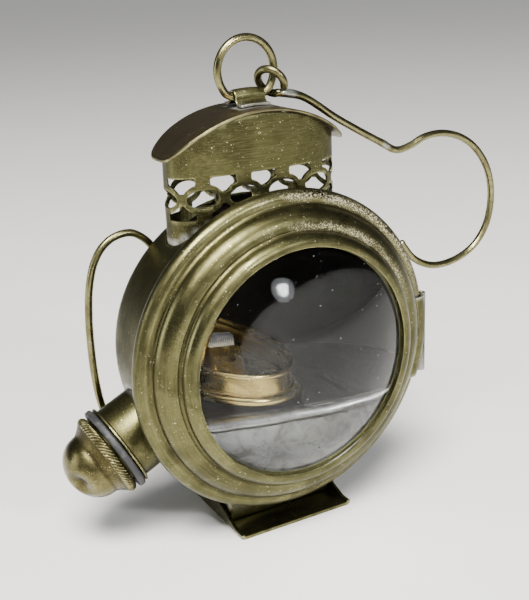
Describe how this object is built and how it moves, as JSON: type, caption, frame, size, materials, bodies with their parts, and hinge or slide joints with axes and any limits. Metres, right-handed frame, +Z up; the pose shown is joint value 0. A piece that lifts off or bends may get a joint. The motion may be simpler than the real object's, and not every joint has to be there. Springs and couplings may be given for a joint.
{
  "type": "hanging lantern",
  "caption": "Small brass oil lantern: round drum with a hinged bull's-eye lens door, pierced chimney under a curved roof, side filler with screw cap, and a wire hook on a ring.",
  "frame": {"origin": "centre of the underside of the foot", "axes": "+Z up; -Y out through the front lens along the drum's axis; +X to the right seen from the front, where the door's hinge and the hook are"},
  "size_m": [0.1367, 0.0467, 0.1257],
  "materials": {
    "sheet_brass": "aged, brushed, olive patina with pits and specks",
    "door_brass": "aged, spun, rubbed bright on the ridges",
    "wire_brass": "aged drawn wire, smooth, grey solder at the joins",
    "turned_brass": "turned and polished, lightly tarnished",
    "tinplate": "tinned sheet, dull bright with dark water stains",
    "lens_glass": "clear pressed glass, faintly dusty",
    "black_rubber": "matt black rubber",
    "cotton": "woven flat cotton wick, singed at the top"
  },
  "bodies": {
    "lantern": {"drum": "sheet_brass", "chimney": "sheet_brass", "roof": "sheet_brass", "ring_strap": "sheet_brass", "back_handle": "wire_brass", "foot_tray": "sheet_brass", "foot_saddle": "sheet_brass", "hinge_leaf_drum": "door_brass", "hinge_pin": "door_brass", "filler_neck": "sheet_brass", "font": "tinplate", "burner_collar": "turned_brass"},
    "door": {"door_bezel": "door_brass", "door_skirt": "door_brass", "lens": "lens_glass", "lens_ring": "door_brass", "hinge_leaf_door": "door_brass"},
    "ring": {"hanging_ring": "wire_brass"},
    "hook": {"hook": "wire_brass"},
    "gasket": {"cap_gasket": "black_rubber"},
    "cap": {"filler_cap": "turned_brass"},
    "burner": {"burner_cup": "turned_brass", "wick_tube": "turned_brass"},
    "wick": {"wick": "cotton"}
  },
  "joints": [
    {"name": "door_swing", "type": "hinge", "parent": "lantern", "child": "door", "pos_m": [0.0426, -0.0124, 0.048], "axis": [0, 0, 1], "range_deg": [0, 120]},
    {"name": "ring_tilt", "type": "hinge", "parent": "lantern", "child": "ring", "pos_m": [0, 0.0026, 0.1109], "axis": [1, 0, 0], "range_deg": [-20, 75]},
    {"name": "hook_round_ring", "type": "hinge", "parent": "ring", "child": "hook", "pos_m": [0, 0.0026, 0.1169], "axis": [0, -1, 0], "range_deg": [0, 180]},
    {"name": "cap_travel", "type": "slide", "parent": "lantern", "child": "gasket", "axis": [-0.8934, 0, -0.4493], "range_m": [0, 0.003]},
    {"name": "cap_turn", "type": "hinge", "parent": "gasket", "child": "cap", "pos_m": [-0.04136, 0.0026, 0.0272], "axis": [-0.8934, 0, -0.4493], "range_deg": [0, 720]},
    {"name": "burner_lift", "type": "slide", "parent": "lantern", "child": "burner", "axis": [0, 0, 1], "range_m": [0, 0.012]},
    {"name": "wick_raise", "type": "slide", "parent": "burner", "child": "wick", "axis": [0, 0, 1], "range_m": [0, 0.003]}
  ],
  "couplings": [
    {"joint": "cap_travel", "follows": "cap_turn", "m_per_rad": 0.0002387}
  ]
}
